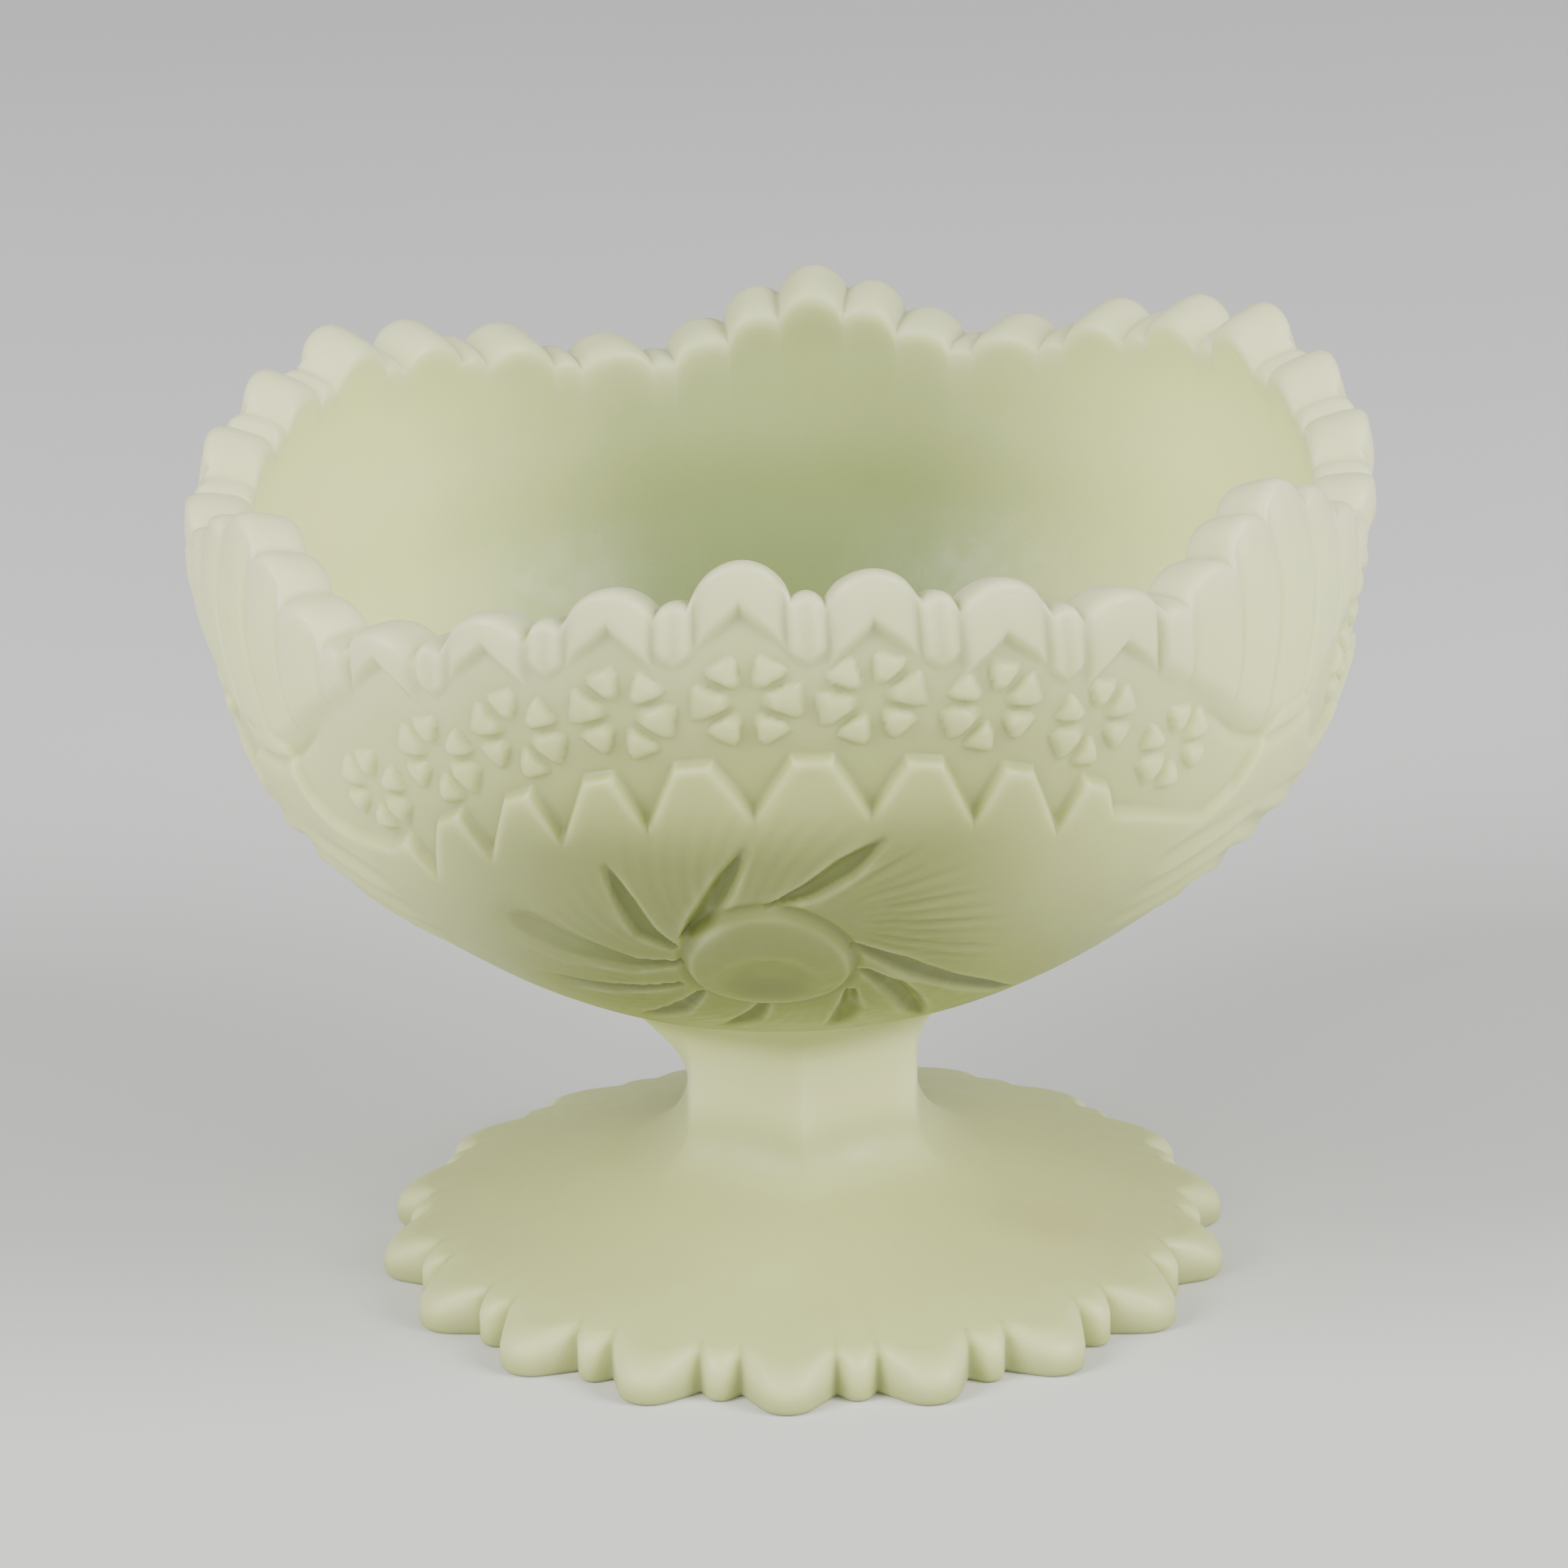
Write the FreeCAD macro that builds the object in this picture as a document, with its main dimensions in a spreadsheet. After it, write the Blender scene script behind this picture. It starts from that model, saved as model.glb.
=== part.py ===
import FreeCAD, Part
import math
import os

import Sketcher
from FreeCAD import Placement, Rotation, Vector

# A footed dish (comport) of pressed satin glass, in millimetres, +Z up.
# The origin is the centre of the ring that the foot rests on.
# The bowl leans a little towards -X on its stem, as pressed pieces often do.

DIMENSIONS = {
    # foot: a round plate with 18 large and 18 small lobes round its edge
    "foot_body_radius": 50.9,
    "foot_lobe_count": 18,
    "foot_lobe_tip_radius": 57.3,
    "foot_lobe_half_width": 6.4,
    "foot_lobe_round": 3.1,
    "foot_small_tip_radius": 53.7,
    "foot_small_half_width": 2.5,
    "foot_small_round": 1.1,
    "foot_lobe_angle": 7.1,
    "foot_edge_height": 6.9,
    "foot_shoulder_radius": 50.0,
    "foot_tip_height": 2.8,
    "foot_cone_radius": 25.0,
    "foot_cone_height": 13.6,
    "foot_top_radius": 19.7,
    "foot_top_height": 17.5,
    "foot_recess_radius": 45.0,
    "foot_recess_depth": 2.4,
    # stem: a soft-edged hexagon, flared at both ends
    "stem_radius": 17.5,
    "stem_corner_radius": 4.5,
    "stem_end_radius": 22.0,
    "stem_end_corner_radius": 15.0,
    "stem_waist_low": 22.5,
    "stem_waist_high": 36.0,
    "stem_top_height": 40.0,
    # bowl: thickness, lean and where its pattern sits
    "bowl_lean": 1.45,
    "bowl_shift": 0.5,
    "bowl_base_thickness": 5.5,
    "bowl_rim_thickness": 8.2,
    "relief_depth": 1.6,
    "panel_count": 3,
    "panel_angle": 266.0,
    "scallop_pitch": 12.3,
    "rosette_row": 94.4,
    "tab_row": 82.1,
    "row_droop": 0.0095,
    "scallop_radius": 6.4,
    "small_scallop_radius": 2.9,
    "button_radius": 11.2,
    "button_dish_radius": 6.8,
    "button_height": 23.5,
    "button_squash": 0.75,
}

# Outside of the bowl over its pattern: height above the stem and radius. A flat stretch runs
# between the first two points; after them, arcs run through each three points in turn.
BOWL_PROFILE = ((0.0, 18.0), (3.6, 32.6), (15.0, 51.6), (32.0, 69.3), (50.0, 75.9), (68.0, 77.9),
                (77.0, 76.0), (87.0, 71.6))

# Heights of the rim above the stem, from the middle of a panel to the tip of a leaf.
SCALLOP_TIPS = (81.0, 78.5, 75.1, 71.0)
SMALL_TIPS = (76.7, 74.8, 70.4, 67.4)

# Scallops over a leaf: degrees to either side of its middle, radius and tip height.
LEAF_SCALLOPS = ((0.0, 5.0, 78.7), (6.1, 4.5, 75.9), (12.0, 5.3, 71.5), (17.6, 2.4, 67.6))


def make_sheet(document):
    """Put every driving dimension in a spreadsheet cell that carries its name."""
    sheet = document.addObject("Spreadsheet::Sheet", "dims")
    for row, (alias, value) in enumerate(DIMENSIONS.items(), start=1):
        sheet.set(f"A{row}", alias)
        sheet.set(f"B{row}", str(value))
        sheet.setAlias(f"B{row}", alias)
    document.recompute()
    return sheet


def read(name):
    """Value of a cell of the sheet as a plain number."""
    return float(getattr(SHEET, name))


def origin_plane(body, role):
    for feature in body.Origin.OriginFeatures:
        if feature.Role == role:
            return feature
    raise ValueError(role)


def new_sketch(body, name, role, offset=None):
    """Sketch on one of the body's own origin planes."""
    sketch = body.newObject("Sketcher::SketchObject", name)
    sketch.AttachmentSupport = (origin_plane(body, role), [""])
    sketch.MapMode = "FlatFace"
    if offset is not None:
        sketch.AttachmentOffset = offset
    return sketch


def line(start, end):
    return Part.LineSegment(Vector(*start, 0), Vector(*end, 0))


def bound_circle(sketch, radius_expression, distance_expression=None):
    """Circle on the sketch's X axis whose radius and distance follow the sheet."""
    circle = sketch.addGeometry(Part.Circle(Vector(20 if distance_expression else 0, 0, 0), Vector(0, 0, 1), 5))
    radius = sketch.addConstraint(Sketcher.Constraint("Radius", circle, 5))
    sketch.setExpression(f"Constraints[{radius}]", radius_expression)
    if distance_expression is None:
        sketch.addConstraint(Sketcher.Constraint("Coincident", circle, 3, -1, 1))
        return
    sketch.addConstraint(Sketcher.Constraint("PointOnObject", circle, 3, -1))
    distance = sketch.addConstraint(Sketcher.Constraint("DistanceX", -1, 1, circle, 3, 20))
    sketch.setExpression(f"Constraints[{distance}]", distance_expression)


def add_pad(body, name, sketch, length_expression):
    pad = body.newObject("PartDesign::Pad", name)
    pad.Profile = sketch
    pad.setExpression("Length", length_expression)
    sketch.Visibility = False
    return pad


def add_ring_pattern(body, name, feature, count_expression):
    pattern = body.newObject("PartDesign::PolarPattern", name)
    pattern.Originals = [feature]
    pattern.Axis = (origin_axis(body, "Z_Axis"), [""])
    pattern.Angle = 360
    pattern.setExpression("Occurrences", count_expression)
    body.Tip = pattern
    return pattern


def origin_axis(body, role):
    return origin_plane(body, role)


def add_turned(body, kind, name, sketch):
    """Revolution or Groove of a half section about the body's vertical axis."""
    feature = body.newObject(kind, name)
    feature.Profile = sketch
    feature.ReferenceAxis = (origin_axis(body, "Z_Axis"), [""])
    feature.Angle = 360
    sketch.Visibility = False
    body.Tip = feature
    return feature


def make_foot(document):
    """Lobed plate with a shallow cone on top and a shallow hollow underneath."""
    body = document.addObject("PartDesign::Body", "foot")
    plate = new_sketch(body, "foot_plate_outline", "XY_Plane")
    bound_circle(plate, "dims.foot_body_radius")
    add_pad(body, "foot_plate", plate, "dims.foot_top_height")
    document.recompute()

    half_pitch = 180 / read("foot_lobe_count")
    for kind, turn in (("foot_lobe", 0.0), ("foot_small", half_pitch)):
        offset = Placement(Vector(), Rotation(Vector(0, 0, 1), turn))
        outline = new_sketch(body, f"{kind}_outline", "XY_Plane", offset)
        outline.addGeometry(lobe_outline(kind))
        pad = add_pad(body, f"{kind}_pad", outline, "dims.foot_edge_height")
        document.recompute()
        add_ring_pattern(body, f"{kind}_ring", pad, "dims.foot_lobe_count")
        document.recompute()

    shape_foot_top(body)
    document.recompute()
    hollow_foot_underside(body)
    document.recompute()
    body.setExpression("Placement.Rotation.Angle", "dims.foot_lobe_angle")
    return body


def lobe_outline(kind):
    """Pointed lobe with a rounded tip, in plan, pointing along +X."""
    tip, half, tip_round = (read(f"{kind}_{name}") for name in ("tip_radius", "half_width", "round"))
    root = read("foot_body_radius") - 0.6
    centre = tip - tip_round
    # The side runs from the root corner and touches the circle of the rounded tip.
    reach = math.hypot(centre - root, half)
    bearing = math.atan2(-half, centre - root)
    swing = math.acos(tip_round / reach)
    touch = math.pi - swing - abs(bearing)
    side = (centre + tip_round * math.cos(touch), tip_round * math.sin(touch))
    mirrored = (side[0], -side[1])
    inside = root - 8.0
    points = [mirrored, (root, -half), (inside, -half), (inside, half), (root, half), side]
    tip_arc = Part.Arc(Vector(*side, 0), Vector(tip, 0, 0), Vector(*mirrored, 0))
    return [line(a, b) for a, b in zip(points, points[1:])] + [tip_arc]


def shape_foot_top(body):
    """Cut away what lies above the cone and its flare into the stem."""
    sketch = new_sketch(body, "foot_cone_section", "XZ_Plane")
    neck = (read("foot_top_radius"), read("foot_top_height"))
    cone = (read("foot_cone_radius"), read("foot_cone_height"))
    shoulder = (read("foot_shoulder_radius"), read("foot_edge_height"))
    outside = read("foot_lobe_tip_radius") + 0.4
    above = neck[1] + 5
    slope = (cone[1] - shoulder[1]) / (shoulder[0] - cone[0])
    flare_middle = ((neck[0] + cone[0]) / 2 - 0.9, (neck[1] + cone[1]) / 2 - 0.6 * slope)
    edge = (outside, read("foot_tip_height"))
    bend = (shoulder[0] * 0.36 + edge[0] * 0.64, shoulder[1] * 0.7 + edge[1] * 0.3)
    flare = Part.Arc(Vector(*neck, 0), Vector(*flare_middle, 0), Vector(*cone, 0))
    fall = Part.Arc(Vector(*shoulder, 0), Vector(*bend, 0), Vector(*edge, 0))
    sketch.addGeometry([flare, line(cone, shoulder), fall, line(edge, (outside, above)),
                        line((outside, above), (neck[0], above)), line((neck[0], above), neck)])
    add_turned(body, "PartDesign::Groove", "foot_cone", sketch)


def hollow_foot_underside(body):
    sketch = new_sketch(body, "foot_hollow_section", "XZ_Plane")
    rim = read("foot_recess_radius")
    depth = read("foot_recess_depth")
    roof = Part.Arc(Vector(rim, 0, 0), Vector(rim * 0.8, depth * 0.75, 0), Vector(0, depth, 0))
    sketch.addGeometry([line((0, 0), (rim, 0)), roof, line((0, depth), (0, 0))])
    add_turned(body, "PartDesign::Groove", "foot_hollow", sketch)


def soft_hexagon(sketch, corner_distance, corner_radius):
    """Hexagon with a corner on -Y and rounded corners."""
    corners = [corner_distance * complex(math.cos(a), math.sin(a))
               for a in (math.radians(30 + 60 * k) for k in range(6))]
    trim = corner_radius * math.tan(math.radians(30))
    for k, corner in enumerate(corners):
        before = corners[k - 1] - corner
        after = corners[(k + 1) % 6] - corner
        start = corner + before / abs(before) * trim
        end = corner + after / abs(after) * trim
        middle = corner * (1 - corner_radius * (1 / math.cos(math.radians(30)) - 1) / corner_distance)
        next_start = corners[(k + 1) % 6] - after / abs(after) * trim
        points = [Vector(p.real, p.imag, 0) for p in (start, middle, end, next_start)]
        sketch.addGeometry([Part.Arc(*points[:3]), Part.LineSegment(points[2], points[3])])


def make_stem(document):
    """Loft through soft hexagons, nearly round at the ends; the last one leans with the bowl."""
    body = document.addObject("PartDesign::Body", "stem")
    base = read("foot_top_height")
    low, high = read("stem_waist_low") - base, read("stem_waist_high") - base
    end = ("stem_end_radius", "stem_end_corner_radius")
    waist = ("stem_radius", "stem_corner_radius")
    sections = ((0.0, *end), (low, *waist), (high, *waist), (read("stem_top_height") - base, *end))
    sketches = []
    for number, (height, corner_distance, corner_radius) in enumerate(sections):
        top = number == len(sections) - 1
        shift = read("bowl_shift") if top else 0.0
        lean = read("bowl_lean") if top else 0.0
        offset = Placement(Vector(shift, 0, height), Rotation(Vector(0, 1, 0), -lean))
        sketch = new_sketch(body, f"stem_section_{number}", "XY_Plane", offset)
        soft_hexagon(sketch, read(corner_distance), read(corner_radius))
        sketch.Visibility = False
        sketches.append(sketch)
    document.recompute()
    loft = body.newObject("PartDesign::AdditiveLoft", "stem_loft")
    loft.Profile = sketches[0]
    loft.Sections = sketches[1:]
    document.recompute()
    body.setExpression("Placement.Base.z", "dims.foot_top_height")
    return body


def wall_point(index, depth):
    """Point of the bowl's profile moved into the glass by depth, square to the surface."""
    before = BOWL_PROFILE[max(index - 1, 0)]
    after = BOWL_PROFILE[min(index + 1, len(BOWL_PROFILE) - 1)]
    rise, run = after[0] - before[0], after[1] - before[1]
    length = math.hypot(rise, run)
    height, radius = BOWL_PROFILE[index]
    return Vector(radius - depth * rise / length, height + depth * run / length, 0)


def half_section_line(points):
    """A straight stretch, then an arc through each three points in turn."""
    edges = [Part.LineSegment(points[0], points[1])]
    for first in range(1, len(points) - 2, 2):
        edges.append(Part.Arc(*points[first:first + 3]))
    return edges


def outside_line(depth, fade_at_foot=True):
    """Outer line of the half section; the pattern's depth fades out on the smooth underside."""
    points = []
    for index in range(len(BOWL_PROFILE)):
        fade = min(max(index - 1, 0), 1) if fade_at_foot else 1
        points.append(wall_point(index, depth * fade))
    return points


def inside_line():
    """Inner line of the half section, from the middle of the floor to the top."""
    base, rim = read("bowl_base_thickness"), read("bowl_rim_thickness")
    points = [Vector(0, base, 0)]
    for index in range(1, len(BOWL_PROFILE)):
        share = index / (len(BOWL_PROFILE) - 1)
        points.append(wall_point(index, base + (rim - base) * share))
    points[1] = Vector(points[1].x * 0.8, base + 0.6, 0)
    return points


def close_foot(inner, outer):
    """Close a half section at its lower end, square at the axis if it starts there."""
    if inner.x > 0:
        return [Part.LineSegment(inner, outer)]
    corner = Vector(0, outer.y, 0)
    return [Part.LineSegment(inner, corner), Part.LineSegment(corner, outer)]


def make_turned_wall(document, name, outside, inside):
    """Wall turned between two half-section lines that both run upwards."""
    body = document.addObject("PartDesign::Body", name)
    sketch = new_sketch(body, f"{name}_section", "XZ_Plane")
    sketch.addGeometry(half_section_line(outside) + half_section_line(inside)
                       + close_foot(inside[0], outside[0]) + [Part.LineSegment(outside[-1], inside[-1])])
    add_turned(body, "PartDesign::Revolution", f"{name}_wall", sketch)
    return body


def wall_length_table():
    """Distance along the profile, height and radius at small steps, for placing the pattern."""
    steps = 60
    points = []
    for edge in half_section_line(outside_line(0)):
        span = edge.LastParameter - edge.FirstParameter
        points += [edge.value(edge.FirstParameter + span * step / steps) for step in range(steps + 1)]
    table = [(0.0, points[0].y, points[0].x)]
    for before, after in zip(points, points[1:]):
        table.append((table[-1][0] + before.distanceToPoint(after), after.y, after.x))
    return table


def wall_at(distance):
    """Height and radius of the wall at a distance along the profile from the stem."""
    for before, after in zip(WALL, WALL[1:]):
        if after[0] >= distance and after[0] > before[0]:
            share = (distance - before[0]) / (after[0] - before[0])
            return tuple(before[k] + (after[k] - before[k]) * share for k in (1, 2))
    return WALL[-1][1:]


def distance_at(height):
    for before, after in zip(WALL, WALL[1:]):
        if after[1] >= height and after[1] > before[1]:
            return before[0] + (after[0] - before[0]) * (height - before[1]) / (after[1] - before[1])
    return WALL[-1][0]


def radial_prism(edges, angle, near=30.0, far=100.0):
    """Outline drawn across the wall, pushed straight out through it, turned to an angle."""
    face = Part.Face(Part.Wire(Part.__sortEdges__(edges)))
    prism = face.extrude(Vector(far - near, 0, 0))
    prism.translate(Vector(near, 0, 0))
    prism.rotate(Vector(), Vector(0, 0, 1), angle)
    return prism


def polygon(points):
    """Closed outline from (across, height) pairs."""
    ring = [Vector(0, across, height) for across, height in points]
    return [Part.makeLine(a, b) for a, b in zip(ring, ring[1:] + ring[:1])]


def patch(points, angle):
    """Prism from (across, distance along the wall) pairs centred on an angle."""
    return radial_prism(polygon([(across, wall_at(distance)[0]) for across, distance in points]), angle)


def arch(angle, radius, tip, foot):
    """Round-topped upright tab, used for the scallops of the rim."""
    shoulder = tip - radius
    left, right = Vector(0, -radius, shoulder), Vector(0, radius, shoulder)
    top = Part.Arc(left, Vector(0, 0, tip), right).toShape()
    edges = [top, Part.makeLine(right, Vector(0, radius, foot)),
             Part.makeLine(Vector(0, radius, foot), Vector(0, -radius, foot)),
             Part.makeLine(Vector(0, -radius, foot), left)]
    return radial_prism(edges, angle)


def panel_crown():
    """Everything below the scalloped rim over one third of the bowl."""
    pitch = read("scallop_pitch")
    large, small = read("scallop_radius"), read("small_scallop_radius")
    pieces = []
    for side in (-1, 1):
        for index, tip in enumerate(SCALLOP_TIPS):
            if index or side > 0:
                pieces.append(arch(side * index * pitch, large, tip, 50))
        for index, tip in enumerate(SMALL_TIPS):
            pieces.append(arch(side * (index + 0.5) * pitch, small, tip, 50))
        for aside, radius, tip in LEAF_SCALLOPS:
            if aside or side > 0:
                pieces.append(arch(60 + side * aside, radius, tip, 50))
    return pieces


def panel_bosses():
    """Scallop faces: each runs down from the rim to an upturned V."""
    pitch = read("scallop_pitch")
    half = read("scallop_radius") - 0.3
    pieces = []
    for index in range(-3, 4):
        top = distance_at(SCALLOP_TIPS[abs(index)])
        outline = [(-half, top + 4), (half, top + 4), (half, top - 13.5), (half - 1.0, top - 13.5),
                   (0, top - 7.5), (1.0 - half, top - 13.5), (-half, top - 13.5)]
        pieces.append(patch(outline, index * pitch))
    for side in (-1, 1):
        for index, tip in enumerate(SMALL_TIPS[:3]):
            top = distance_at(tip)
            outline = [(-1.7, top + 4), (1.7, top + 4), (1.7, top - 7), (0, top - 9.5), (-1.7, top - 7)]
            pieces.append(patch(outline, side * (index + 0.5) * pitch))
    return pieces


def panel_rosettes():
    """Stars of six wedges, one under each scallop, on a line that sinks to the sides."""
    pieces = []
    reach, base, spread = 5.6, 1.9, math.radians(17)
    for index in range(-3, 4):
        angle = index * read("scallop_pitch") * 0.93
        centre = read("rosette_row") - read("row_droop") * angle * angle
        for petal in range(6):
            turn = math.radians(60 * petal)
            outline = []
            for distance, offset in ((base, 0), (reach, -spread), (reach, spread)):
                outline.append((distance * math.cos(turn + offset) * 0.95,
                                centre + distance * math.sin(turn + offset) * 0.85))
            pieces.append(patch(outline, angle))
    return pieces


def panel_tabs():
    """Row of tapered teeth under the rosettes."""
    pieces = []
    for index in range(-3, 3):
        angle = (index + 0.5) * read("scallop_pitch") * 0.85
        centre = read("tab_row") - read("row_droop") * angle * angle
        outline = [(-2.3, centre + 5.3), (2.3, centre + 5.3), (6.0, centre - 5.0), (0, centre - 6.2),
                   (-6.0, centre - 5.0)]
        pieces.append(patch(outline, angle))
    return pieces


def panel_button():
    """Round button with a dished middle at the hub of the pinwheel."""
    height, squash = read("button_height"), read("button_squash")
    rings = []
    for size in ("button_radius", "button_dish_radius"):
        radius = read(size)
        ellipse = Part.Ellipse(Vector(), radius, radius * squash).toShape()
        ellipse.rotate(Vector(), Vector(0, 0, 1), 90)
        ellipse.rotate(Vector(), Vector(0, 1, 0), 90)
        ellipse.translate(Vector(0, 0, height))
        rings.append(radial_prism([ellipse], 0))
    return rings[0].cut(rings[1])


def panel_vanes():
    """Curved vanes that swirl out from the button."""
    pieces = []
    hub = distance_at(read("button_height"))
    for vane in range(8):
        turn = math.radians(45 * vane + 10)
        outline = []
        for distance, lag in ((12.5, 0), (18, 13), (24, 22), (28, 26), (22, 38), (16, 36), (12.5, 28)):
            heading = turn + math.radians(lag)
            outline.append((distance * math.cos(heading), hub + distance * 0.9 * math.sin(heading)))
        pieces.append(patch(outline, 0))
    return pieces


def panel_leaf():
    """Smooth pointed leaf between two panels."""
    outline = [(-16, 71), (-18, 66), (-18.5, 59), (-16.5, 53), (-11, 48), (-5, 45.4), (0, 44.3),
               (5, 45.4), (11, 48), (16.5, 53), (18.5, 59), (18, 66), (16, 71), (8, 82), (-8, 82)]
    return radial_prism(polygon(outline), 60)


def make_shape(document, name, shape):
    feature = document.addObject("Part::Feature", name)
    feature.Shape = shape
    feature.Visibility = False
    return feature


def around(pieces):
    """One third of the bowl repeated round its axis."""
    count = int(read("panel_count"))
    result = []
    for turn in range(count):
        for piece in pieces:
            copy = piece.copy()
            copy.rotate(Vector(), Vector(0, 0, 1), read("panel_angle") + turn * 360 / count)
            result.append(copy)
    return result


def fuse_all(pieces):
    return pieces[0].multiFuse(pieces[1:]) if len(pieces) > 1 else pieces[0]


def make_bowl(document):
    """Turned wall, plus the pattern raised on it, trimmed to the scalloped rim."""
    depth = read("relief_depth")
    ground = make_turned_wall(document, "bowl_ground", outside_line(depth), inside_line())
    skin = make_turned_wall(document, "bowl_skin", outside_line(0), outside_line(2 * depth, False))
    document.recompute()
    raised = panel_bosses() + panel_rosettes() + panel_tabs() + [panel_button(), panel_leaf()] + panel_vanes()
    panel = fuse_all([skin.Shape.common(piece) for piece in raised])
    pattern = make_shape(document, "bowl_pattern", Part.makeCompound(around(panel.Solids)))
    crown = make_shape(document, "bowl_crown", fuse_all([Part.makeCylinder(90, 60)] + around(panel_crown())))
    blank = document.addObject("Part::Fuse", "bowl_blank")
    blank.Base = ground
    blank.Tool = pattern
    document.recompute()
    bowl = make_shape(document, "bowl", blank.Shape.common(crown.Shape))
    bowl.Placement = Placement(Vector(), Rotation(Vector(0, -1, 0), read("bowl_lean")))
    bowl.setExpression("Placement.Base.x", "dims.bowl_shift")
    bowl.setExpression("Placement.Base.z", "dims.stem_top_height")
    bowl.setExpression("Placement.Rotation.Angle", "dims.bowl_lean")
    document.recompute()
    return bowl


def check_and_export(document, nodes):
    for feature in document.Objects:
        if "Invalid" in feature.State or "Error" in feature.State:
            raise RuntimeError(f"{feature.Name}: {feature.State}")
    os.makedirs("parts", exist_ok=True)
    for node in nodes:
        shape = node.Shape
        if shape.isNull() or not shape.isValid() or len(shape.Solids) != 1:
            raise RuntimeError(f"{node.Label}: bad shape, {len(shape.Solids)} solids")
        print(node.Label, len(shape.Solids), "solid", round(shape.Volume), "mm3", shape.BoundBox)
        shape.exportStep(f"parts/{node.Label}.step")


DOCUMENT = FreeCAD.newDocument("footed_dish")
SHEET = make_sheet(DOCUMENT)
WALL = wall_length_table()
NODES = [make_foot(DOCUMENT), make_stem(DOCUMENT), make_bowl(DOCUMENT)]
DOCUMENT.recompute()
check_and_export(DOCUMENT, NODES)
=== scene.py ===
import math

import bpy
import numpy as np
from mathutils import Matrix


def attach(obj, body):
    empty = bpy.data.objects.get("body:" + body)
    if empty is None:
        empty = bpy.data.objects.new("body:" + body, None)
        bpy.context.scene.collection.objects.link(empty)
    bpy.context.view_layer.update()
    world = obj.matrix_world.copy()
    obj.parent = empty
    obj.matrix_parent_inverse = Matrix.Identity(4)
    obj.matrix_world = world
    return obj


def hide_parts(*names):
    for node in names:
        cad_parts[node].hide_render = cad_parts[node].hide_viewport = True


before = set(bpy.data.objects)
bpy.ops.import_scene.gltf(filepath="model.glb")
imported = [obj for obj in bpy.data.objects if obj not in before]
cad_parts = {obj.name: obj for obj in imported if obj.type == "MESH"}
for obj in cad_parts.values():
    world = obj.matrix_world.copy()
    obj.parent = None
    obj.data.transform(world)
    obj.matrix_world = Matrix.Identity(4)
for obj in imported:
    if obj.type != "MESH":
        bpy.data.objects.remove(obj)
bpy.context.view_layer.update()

# A footed dish of pressed satin glass. Mesh code works in millimetres and scales to metres at the end.
MM = 0.001

# Where the bowl stands: it leans towards -X about the top of the stem.
STEM_TOP = 40.0
LEAN = math.radians(1.45)
BOWL_SHIFT = 0.5

# The pattern repeats three times. Angles are in degrees from the middle of the front panel.
# PANEL_ANGLE turns the front panel from +X, LEAF is where the leaves hang and PITCH parts the scallops.
PANELS = 3
PANEL_ANGLE = 266.0
LEAF = 60.0
PITCH = 12.3
EDGE_RADIUS = 75.5

# Outside of the bowl over the tops of its pattern: height above the stem and radius.
PROFILE = ((-0.6, 13.0), (0.0, 18.0), (1.6, 25.6), (3.6, 32.4), (8.0, 41.2), (15.0, 51.5), (23.0, 61.3),
           (32.0, 69.2), (42.0, 74.0), (52.0, 76.2), (60.0, 77.7), (68.0, 77.9), (76.0, 76.1), (82.0, 74.0))
BASE_THICKNESS = 5.5
RIM_THICKNESS = 8.4
RIM_ROUND = 2.1
RIM_SQUARENESS = 2.9
RELIEF = 1.7

# Distances along the wall: where the inside starts, and where the mesh's rows begin to follow the rim.
FLOOR_START = 11.0
ROWS_FOLLOW = 82.0

# The floor inside is flat out to one radius and has melted into the wall at the other.
FLOOR_FLAT = 4.0
FLOOR_MELTS = 30.0

# Rim: tip heights above the stem from the middle scallop outwards, and the narrow ones between.
SCALLOP_TIPS = (81.0, 78.5, 75.1, 71.0)
SCALLOP_RADIUS = 6.5
SMALL_TIPS = (76.7, 74.8, 70.4, 67.4)
SMALL_RADIUS = 2.7
RIM_SOFTNESS = 0.16
ARCH_FALL = 6.0

# Faces under the rim: half width, length and bevel of a large scallop's face, then of a narrow one's.
SCALLOP_FACE = (6.1, 7.4, 2.8)
SMALL_FACE = (3.3, 10.0, 2.2)

# Scallops over a leaf: degrees to either side of its middle, radius and tip height.
LEAF_SCALLOPS = ((0.0, 5.0, 78.7), (6.1, 4.5, 75.9), (12.0, 5.3, 71.5), (17.6, 2.4, 67.6))

# Slow unevenness of the hand-finished rim: waves round the rim, height and first crest in degrees.
RIM_WAVES = ((1, 0.23, 8.0), (2, 0.51, -79.0), (3, 1.06, 146.0))

# Stem: a hexagon by its corners' radius, each corner cut back and softened.
STEM_CORNER = 17.8
CORNER_CUT = 0.4
CORNER_SOFTNESS = 0.45

# Fillet between stem and foot: its height on the stem, its radius on the foot, and the share of it where
# the foot's mesh takes over from the stem's.
FLARE_HIGH = 24.0
FLARE_RADIUS = 26.0
FLARE_SPLIT = 0.42
BUTT_GAP = 0.02
JOINT_FADE = 6.0

# Foot: lobes as tip radius, roundness and slope of their sides, the plate, and its underside.
LOBES = 18
LOBE_ANGLE = 7.1
LOBE_RADIUS = 54.0
LARGE_LOBE = (57.3, 3.9, 1.35)
SMALL_LOBE = (53.6, 1.9, 1.3)
LOBE_SOFTNESS = 0.28
FOOT_BODY = 50.7
FOOT_EDGE = 6.95
FOOT_EDGE_RADIUS = 50.0
FOOT_SLOPE = 0.276
SHELF_RADIUS = 47.0
FOOT_LIP = 1.1
RING_RADIUS = 45.0
HOLLOW_DEPTH = 2.4

# Tan stain on the foot's top: its middle and its half widths.
STAIN_PLACE = (33.0, -18.0)
STAIN_SIZE = (9.0, 7.0)

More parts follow.
